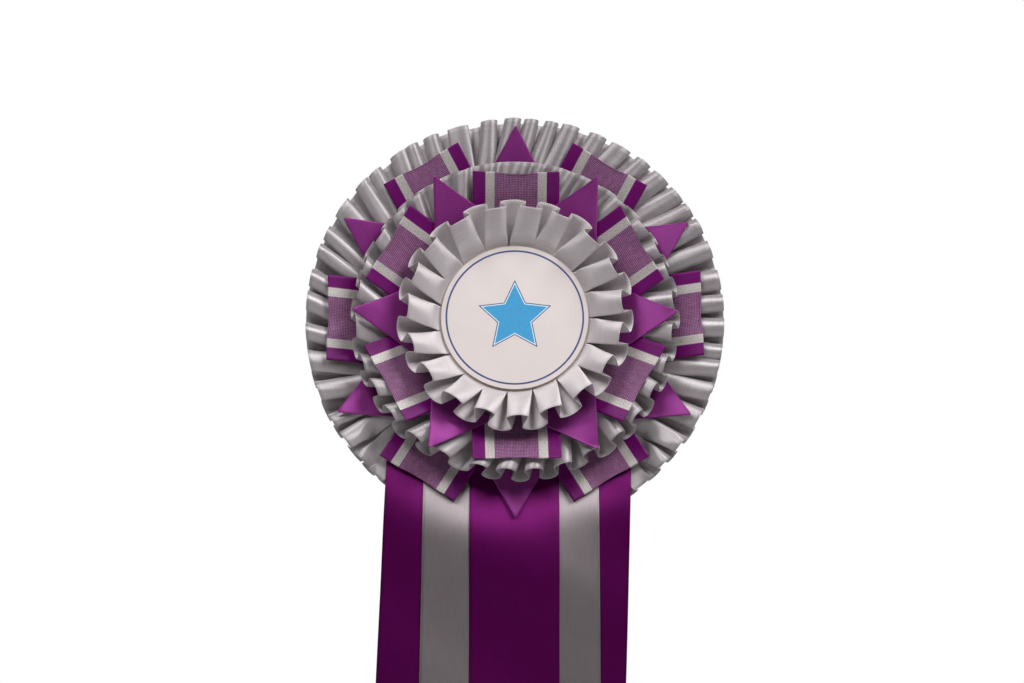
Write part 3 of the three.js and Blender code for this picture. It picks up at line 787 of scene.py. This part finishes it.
tail("tail_purple_left_ribbon", PURPLE, "purple_satin", RIBBON, rim=mm(-73.7, -35.7), tip=mm(-82, -44),
     top=mm(-79, -62), end=mm(22, 0), layer=0, curl=0.15 * MM)
tail("tail_purple_right_ribbon", PURPLE, "purple_satin", RIBBON, rim=mm(27.7, 65.7), tip=mm(20, 58),
     top=mm(-62, -79), end=mm(0, 22), layer=0, curl=0.2 * MM)
tail("tail_silver_left_ribbon", SILVER_PAINTED_SHADE, "silver_satin", RIBBON, rim=mm(-52, -14), tip=mm(-55, -17),
     top=mm(-59, -59), end=mm(20, 0), layer=1, curl=0.2 * MM)
tail("tail_silver_right_ribbon", SILVER_PAINTED_SHADE, "silver_satin", RIBBON, rim=mm(9.7, 47.7), tip=mm(10, 48),
     top=mm(-59, -59), end=mm(0, 20), layer=1, curl=0.15 * MM)
tail("tail_purple_centre_ribbon", PURPLE_WIDE, "purple_satin", WIDE, rim=mm(-25.8, 25.2),
     tip=mm(-25.5, 24.5), top=mm(-54, -54), end=mm(0, 0), layer=2, curl=0.2 * MM, crease=-0.3 * MM)

# ---------------- loops and points
TAIL_LAYERS = 3
AT_TAIL = 0.62                 # how steeply down a direction points where the tails begin, from 0 to 1
AT_TAIL_OVER = 0.16


def turned(angle, x, up):
    """A place made for the direction straight up, turned to an angle from the right."""
    turn = math.radians(angle - 90)
    return x * math.cos(turn) - up * math.sin(turn), x * math.sin(turn) + up * math.cos(turn)


def outer_rest(x, up):
    """The outer frill's lobes, or the tails that lie over them."""
    radius = np.hypot(x, up)
    at_tail = smooth((-up / np.maximum(radius, MM) - AT_TAIL) / AT_TAIL_OVER)
    level = over_outer(x, up) - 0.1 * MM
    return level + at_tail * (np.minimum(0, tail_forward(x, up) - level) + TAIL_LAYERS * LAYER)


RESTS = {
    "outer": (outer_rest, ["outer_frill_ribbon"]),
    "middle": (over_middle, ["middle_frill_ribbon"]),
}

LOOP_GAP = 1.5 * MM            # between a loop's two layers at its fold
LOOP_SAG = 0.9 * MM
LOOP_TUCK = 0.8 * MM           # how much the fold's sheer middle draws in
NEAR_FOLD = 14 * MM
LOOP_OPEN = 0.25               # share of the gap left at the tucked end
STRAIGHT_ROWS = 26
BEND_ROWS = 15
LOOP_COLUMNS = 41
RIGID_EDGE = 0.72              # where across the ribbon its stiff woven edge rests
EDGE_SHARE = 0.55              # how much the loop keeps level with its stiff edge
SHEER_PART = 0.56              # where across the ribbon the sag begins, and over what share it grows
SHEER_FADE = 0.5
LOOP_LEAN = 0.012              # how much the loops differ: sideways slope, degrees and height at the fold
LOOP_SKEW = 0.9
LOOP_TILT = 0.25 * MM


def loop_rows(straight, bend):
    """Distances along a loop's ribbon: out, round the fold and back."""
    round_fold = straight + bend * np.linspace(0, 1, BEND_ROWS)[1:-1]
    out = np.linspace(0, straight, STRAIGHT_ROWS)
    back = np.linspace(straight + bend, 2 * straight + bend, STRAIGHT_ROWS)
    return np.concatenate([out, round_fold, back])[:, None]


def loop(name, node, angle, start, fold, tier, rng):
    """A striped ribbon folded back on itself, fold outward: flat at its woven edges, sagging at the sheer
    middle."""
    height_at, rests_on = RESTS[tier]
    straight = fold - LOOP_GAP / 2 - start
    bend = math.pi * LOOP_GAP / 2
    across = np.linspace(-1, 1, LOOP_COLUMNS)[None]
    rows = loop_rows(straight, bend)
    on_bend = np.clip((rows - straight) / bend, 0, 1)
    radius = start + np.minimum(rows, straight) - np.maximum(0, rows - straight - bend)
    radius = radius + LOOP_GAP / 2 * np.sin(on_bend * math.pi)
    opening = smooth((radius - start) / (fold - start)) * (1 - LOOP_OPEN) + LOOP_OPEN
    lift = LOOP_GAP * (1 - np.cos(on_bend * math.pi)) / 2 * opening
    sheer = smooth((SHEER_PART - np.abs(across)) / SHEER_FADE)
    near_fold = smooth((radius - fold + NEAR_FOLD) / NEAR_FOLD)
    radius = radius - near_fold * sheer * LOOP_TUCK
    lean = rng.normal(0, LOOP_LEAN)
    skew = rng.normal(0, LOOP_SKEW)
    x = across * WIDE / 2 + lean * (radius - start)
    stiff = height_at(*turned(angle, 0 * x + RIGID_EDGE * WIDE / 2, radius))
    draped = height_at(*turned(angle, x, radius))
    lies = np.maximum(stiff, draped) * EDGE_SHARE + draped * (1 - EDGE_SHARE)
    sag = sheer * near_fold * LOOP_SAG * (0.3 + on_bend) * on_bend
    tip_tilt = across * rng.normal(0, LOOP_TILT) * near_fold
    forward = lies + ON_LOBES + lift - sag + tip_tilt
    uv = np.stack(np.broadcast_arrays(rows, across * WIDE / 2), axis=-1)
    points = place(*turned(angle + skew, x, radius), forward)
    piece = sheet_mesh(name, points, uv, STRIPED, thickness=SHEER_CLOTH)
    finish_piece(piece, "novelty_ribbon", node)


POINT_HALF_ANGLE = 29.5        # degrees
POINT_TIP = 0.5 * MM           # half the width of its blunt tip
POINT_ROLL = 0.8 * MM          # radius of its rolled side folds
POINT_ROWS = 44
POINT_ROW_POWER = 1.15         # above 1, so that rows stand closer at the tip
POINT_LIFT = 1.0 * MM
TIP_RISE = 0.3 * MM
NEAR_TIP = 9 * MM
DOME = 0.5 * MM                # how much its front stands out, once its half width is DOME_FULL
DOME_FULL = 10 * MM
POINT_SPREAD = 0.5             # how much the points differ: degrees, sideways slope and degrees
POINT_LEAN = 0.02
POINT_SKEW = 0.7
FLAP_GAP = 0.2 * MM            # half the gap where its two flaps meet behind
FLAP_COLUMNS = 14
ROLL_COLUMNS = 9
FRONT_COLUMNS = 30


def point_section(half):
    """x and height of each row of a point, from one flap's edge round the front to the other flap's."""
    roll = np.minimum(POINT_ROLL, 0.35 * half + 0.15 * MM)
    inner = half - roll
    turn = np.linspace(-math.pi / 2, math.pi / 2, ROLL_COLUMNS)[None]
    flap = np.linspace(0, 1, FLAP_COLUMNS)[None]
    front = np.linspace(-1, 1, FRONT_COLUMNS)[None, 1:-1]
    domed = DOME * (1 - front**2) * np.minimum(1, half / DOME_FULL)
    x = [
        -FLAP_GAP - flap * (inner - FLAP_GAP),
        -inner - roll * np.cos(turn),
        front * inner,
        inner + roll * np.cos(turn),
        inner - flap * (inner - FLAP_GAP),
    ]
    height = [
        -roll + 0 * flap,
        roll * np.sin(turn),
        roll + domed,
        -roll * np.sin(turn),
        -roll + 0 * flap,
    ]
    return np.concatenate(x, axis=1), np.concatenate(height, axis=1)


def point(name, node, angle, base, tip, tier, rng, lift=0.0):
    """A ribbon folded to a point: a plain front, rolled side folds, and two flaps that meet behind."""
    height_at, rests_on = RESTS[tier]
    half_angle = math.radians(POINT_HALF_ANGLE + rng.normal(0, POINT_SPREAD))
    down = np.linspace(0, 1, POINT_ROWS)[:, None] ** POINT_ROW_POWER * (tip - base)
    half = POINT_TIP + down * math.tan(half_angle)
    spread, height = point_section(half)
    radius = tip - down + 0 * spread
    lean = rng.normal(0, POINT_LEAN)
    x = spread + lean * (radius - base)
    draped = height_at(*turned(angle, x, radius))
    centre = height_at(*turned(angle, 0 * x, radius))
    raised_tip = TIP_RISE * smooth((radius - tip + NEAR_TIP) / NEAR_TIP)
    forward = 0.5 * draped + 0.5 * centre + POINT_LIFT + lift + height + raised_tip
    along_side = down * math.cos(half_angle) - spread * math.sin(half_angle)
    from_side = (half + spread) * math.cos(half_angle)
    uv = np.stack([along_side, np.clip(from_side - RIBBON / 2, -RIBBON / 2, 0.4 * RIBBON)], axis=-1)
    points = place(*turned(angle + rng.normal(0, POINT_SKEW), x, radius), forward)
    piece = sheet_mesh(name, points, uv, PURPLE_FOLDED_PAINTED_SHEEN)
    finish_piece(piece, "purple_satin", node)


EACH = 6                       # loops and points on each tier, alternating round it
OUTER_LOOP = mm(74, 107.5)     # radii where a loop starts and folds
MIDDLE_LOOP = mm(49, 84)
OUTER_POINT = mm(80, 114.5)    # radii of a point's base and tip
MIDDLE_POINT = mm(56, 92)
OVER_LOOPS = 1.6 * MM          # lifts the middle points onto the loops beside them

decor = np.random.default_rng(5)
for index in range(EACH):
    number = index + 1
    upright = 90 - index * 360 / EACH
    between = upright - 180 / EACH
    loop(f"outer_loop_ribbon_{number}", f"outer_loop_{number}", between, *OUTER_LOOP, "outer", decor)
    point(f"outer_point_ribbon_{number}", f"outer_point_{number}", upright, *OUTER_POINT, "outer", decor)
    loop(f"middle_loop_ribbon_{number}", f"middle_loop_{number}", upright, *MIDDLE_LOOP, "middle", decor)
    point(f"middle_point_ribbon_{number}", f"middle_point_{number}", between, *MIDDLE_POINT, "middle", decor,
          lift=OVER_LOOPS)

# ---------------- printed centre
INK_LIFT = 0.012 * MM
INK = 0.02 * MM
RING = 39.7 * MM
RING_WIDTH = 1 * MM
STAR = 22 * MM
STAR_LINE = 1.3 * MM           # width of the star's navy outline, and of its pale inner line
STAR_MIDDLE = 0.02 * MM
STAR_WAIST = 0.48
STAR_ARMS = 5
SIDE_POINTS = 4


def flat_print(name, outer, inner, material):
    """A printed shape between two outlines with equal numbers of points, just proud of the paper."""
    points = np.stack([place(*outline.T, DISC_FRONT + INK_LIFT) for outline in (outer, inner)])
    piece = sheet_mesh(name, points, no_uv(points), material, wrap=True, thickness=INK)
    piece.data.polygons.foreach_set("use_smooth", [False] * len(piece.data.polygons))
    finish_piece(piece, "print")


def circle(radius, count=180):
    around = np.linspace(0, 2 * math.pi, count, endpoint=False)
    return np.stack([radius * np.cos(around), radius * np.sin(around)], axis=-1)


def star(radius):
    """A five-pointed star's outline, with extra points along its sides."""
    corners = []
    for corner in range(2 * STAR_ARMS):
        reach = radius if corner % 2 == 0 else radius * STAR_WAIST
        angle = math.pi / 2 + corner * math.pi / STAR_ARMS
        corners.append((reach * math.cos(angle), reach * math.sin(angle)))
    corners = np.array(corners)
    ahead = np.roll(corners, -1, axis=0)
    share = np.linspace(0, 1, SIDE_POINTS, endpoint=False)[None, :, None]
    return (corners[:, None] * (1 - share) + ahead[:, None] * share).reshape(-1, 2)


flat_print("print_ring", circle(RING), circle(RING - RING_WIDTH), NAVY)
flat_print("print_star_outline", star(STAR), star(STAR - STAR_LINE), NAVY)
flat_print("print_star_border", star(STAR - STAR_LINE), star(STAR - 2 * STAR_LINE), PALE)
flat_print("print_star", star(STAR - 2 * STAR_LINE), star(STAR_MIDDLE), BLUE)

# ---------------- foam pads
SIDE_RINGS = 9
EDGE_WAVE = 0.15 * MM
EDGE_WAVES = 7
SQUEEZE = 0.3                  # how far in a pad's faces end, as a share of its thickness
MOST_SQUEEZE = 1.2 * MM
CORNER_POWER = 0.12            # towards 0, a pad's outline nears a sharp rectangle


def close_face(edge, middle):
    """Rings from a pad's edge in to its middle."""
    centre = place(*middle, -edge[0, 1])
    return [centre + (edge - centre) * share for share in (0.5, 0.0)]


def foam_pad(name, node, outline):
    """A slice of foam squeezed between two cards, whose cut side bulges, with a slightly wavy edge."""
    low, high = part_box(node)
    thick = high[1] - low[1]
    middle = np.array([(low[0] + high[0]) / 2, (low[2] + high[2]) / 2])
    around = np.linspace(0, 2 * math.pi, len(outline), endpoint=False)
    reach = np.hypot(*outline.T)
    squeeze = min(thick * SQUEEZE, MOST_SQUEEZE)
    rings = []
    for turn in np.linspace(-math.pi / 2, math.pi / 2, SIDE_RINGS):
        inset = squeeze * (1 - math.cos(turn)) + EDGE_WAVE * (1 + np.sin(around * EDGE_WAVES))
        spot = middle + outline * ((reach - inset) / reach)[:, None]
        rings.append(place(*spot.T, -(low[1] + high[1]) / 2 + thick / 2 * math.sin(turn)))
    back_face = close_face(rings[0], middle)
    front_face = close_face(rings[-1], middle)
    points = np.array(back_face[::-1] + rings + front_face)
    piece = sheet_mesh(name, points, no_uv(points), FOAM, wrap=True, thickness=0)
    weld(piece)
    finish_piece(piece, "foam", node)


def rounded_box(node, count=96):
    """The outline of a pad with rounded corners."""
    low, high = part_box(node)
    half = np.array([high[0] - low[0], high[2] - low[2]]) / 2
    sides = circle(1, count)
    return np.sign(sides) * np.abs(sides) ** CORNER_POWER * half


for tier in ("lower", "upper", "centre"):
    pad_low, pad_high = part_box(f"{tier}_foam_pad")
    foam_pad(f"{tier}_foam_slice", f"{tier}_foam_pad", circle((pad_high[0] - pad_low[0]) / 2, count=120))
foam_pad("pin_foam_slice", "pin_adhesive_pad", rounded_box("pin_adhesive_pad"))

# ---------------- carried-over CAD pieces
SHARP = math.radians(35)       # edges sharper than this stay crisp


def dress(node, material):
    """Gives a CAD node its finish: smooth round its curves, crisp at its edges."""
    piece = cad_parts[node]
    piece.data.materials.clear()
    piece.data.materials.append(material)
    for polygon in piece.data.polygons:
        polygon.use_smooth = True
    split = piece.modifiers.new("edges", "EDGE_SPLIT")
    split.split_angle = SHARP


dress("back_cover", WHITE_CARD)
dress("base_card", GREY_BOARD)
dress("middle_card", GREY_BOARD)
dress("inner_card", GREY_BOARD)
dress("centre_board", BOARD_EDGE)
dress("centre_print", PAPER)
for node in ("pin_base", "hinge_rivet", "pin_needle", "catch_sleeve"):
    dress(node, STEEL)

# ---------------- stage, light and camera
FLOOR = -0.9
FLOOR_SIZE = 8
FLOOR_GLOW = 0.75              # keeps the floor pale where it is seen, and casts no light on the part
SKY_SEEN = 1.0
SKY_LIGHT = 0.06
WHITE = (1, 1, 1, 1)

bpy.ops.mesh.primitive_plane_add(size=FLOOR_SIZE, location=(0, 0, FLOOR))
floor = bpy.context.object
floor.name = "floor"
floor_nodes = Nodes("pale_floor")
seen = floor_nodes.node("LightPath")
floor_nodes.set(Base_Color=srgb(240, 240, 240), Roughness=0.8)
floor_nodes.set(Emission_Color=WHITE, Emission_Strength=floor_nodes.product(seen, FLOOR_GLOW))
floor.data.materials.append(floor_nodes.material)

world = bpy.data.worlds.new("studio")
bpy.context.scene.world = world
world.use_nodes = True
background = world.node_tree.nodes["Background"]
background.inputs["Color"].default_value = WHITE
light_path = world.node_tree.nodes.new("ShaderNodeLightPath")
strength = world.node_tree.nodes.new("ShaderNodeMapRange")
strength.inputs["To Min"].default_value = SKY_LIGHT
strength.inputs["To Max"].default_value = SKY_SEEN
world.node_tree.links.new(light_path.outputs["Is Camera Ray"], strength.inputs["Value"])
world.node_tree.links.new(strength.outputs[0], background.inputs["Strength"])


def area_light(name, location, size, power):
    """A soft light aimed at the rosette's centre, with its size in metres and its power in watts."""
    data = bpy.data.lights.new(name, "AREA")
    data.shape = "RECTANGLE"
    data.size, data.size_y = size
    data.energy = power
    light = bpy.data.objects.new(name, data)
    light.location = location
    light.rotation_mode = "QUATERNION"
    light.rotation_quaternion = (-Vector(location)).to_track_quat("-Z", "Y")
    bpy.context.collection.objects.link(light)


area_light("key", (-0.65, -1.05, 1.05), (1.0, 0.8), 18)
area_light("right", (0.9, -1.0, 0.95), (0.8, 0.8), 22)
area_light("back_left", (-0.9, 1.1, 0.8), (1.0, 1.0), 16)
area_light("back_right", (0.8, 1.2, 0.6), (1.0, 1.0), 12)

TILT = math.radians(13.5)      # the camera looks up at the disc by this angle
DISTANCE = 1.38
AIM = Vector((-1.6 * MM, -DISC_FRONT, -14.4 * MM))
VIEW_WIDTH = 0.585             # width of what the camera sees at the aim
SENSOR = 36                    # millimetres, as the lens

camera_data = bpy.data.cameras.new("camera")
camera_data.sensor_width = SENSOR
camera_data.lens = SENSOR * DISTANCE / VIEW_WIDTH
camera_data.dof.use_dof = False
camera = bpy.data.objects.new("camera", camera_data)
camera.location = AIM + DISTANCE * Vector((0, -math.cos(TILT), -math.sin(TILT)))
camera.rotation_mode = "QUATERNION"
camera.rotation_quaternion = (AIM - camera.location).to_track_quat("-Z", "Y")
bpy.context.collection.objects.link(camera)
bpy.context.scene.camera = camera
bpy.context.scene.view_settings.view_transform = "Standard"
